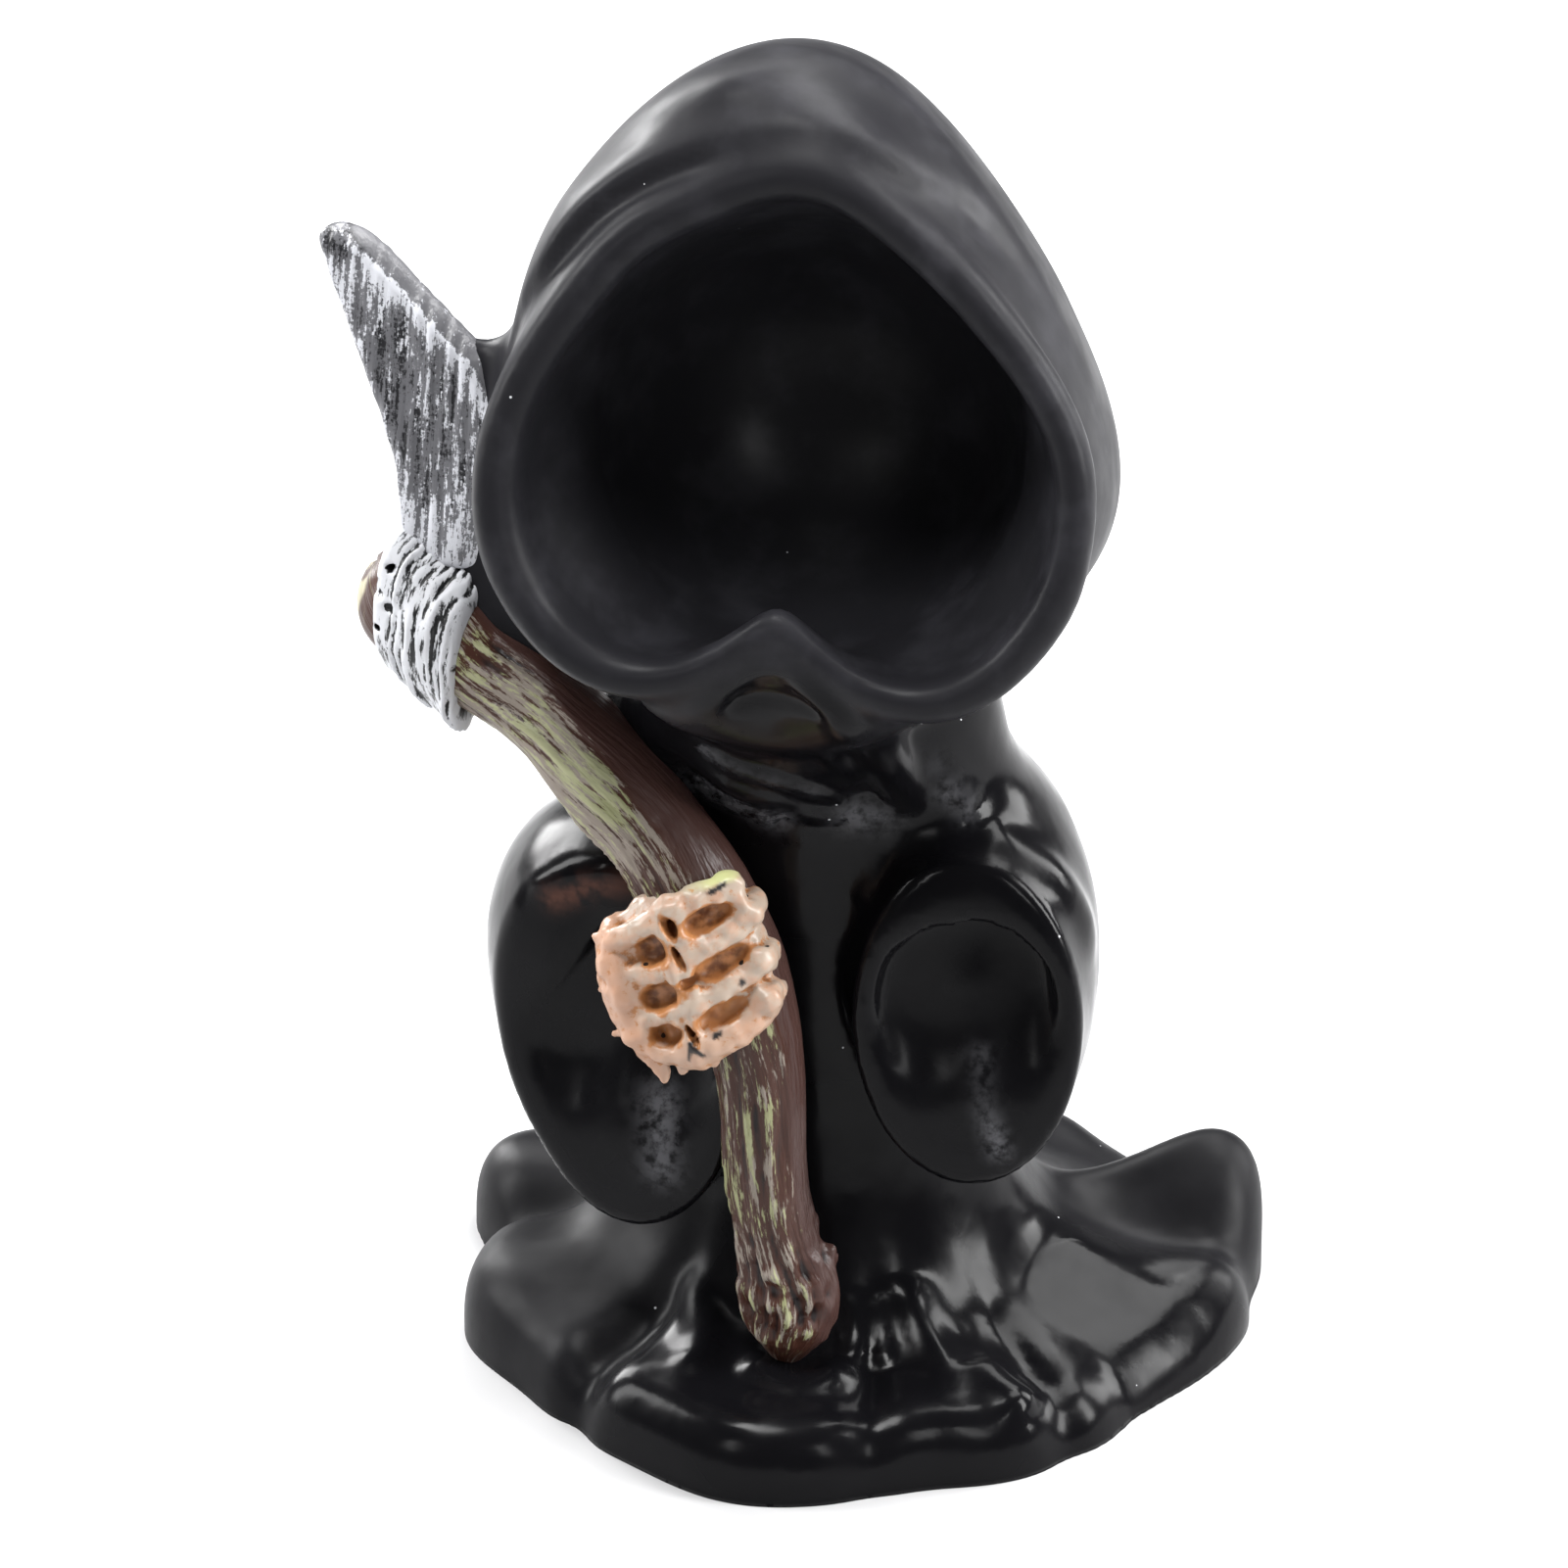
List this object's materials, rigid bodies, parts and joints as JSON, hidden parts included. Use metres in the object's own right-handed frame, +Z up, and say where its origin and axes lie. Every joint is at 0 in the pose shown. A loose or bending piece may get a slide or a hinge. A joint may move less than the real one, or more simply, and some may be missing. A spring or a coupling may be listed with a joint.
{
  "type": "grim reaper figurine",
  "caption": "Small cast figurine of a hooded, faceless reaper whose skeleton hand holds a scythe; it stands on the spread hem of its robe.",
  "frame": {"origin": "middle of the flat underside of the hem", "axes": "+Z up along the figure, -Y the way the hood's opening looks, +X to the right of someone who faces the figure"},
  "size_m": [0.0798, 0.0701, 0.1226],
  "materials": {
    "robe_paint": "black paint on cast resin, satin on the hood and wet-looking on the chest, sleeves and hem",
    "bone_paint": "cream bone paint with a brown wash in the hollows and a few black specks",
    "staff_paint": "dark reddish brown paint, dry-brushed pale green along its grain",
    "binding_paint": "black paint dry-brushed silver white over the cord's turns",
    "blade_paint": "black paint dry-brushed silver in long strokes, with a grey bevel"
  },
  "bodies": {
    "root": {"reaper_figurine": "robe_paint"}
  },
  "joints": []
}
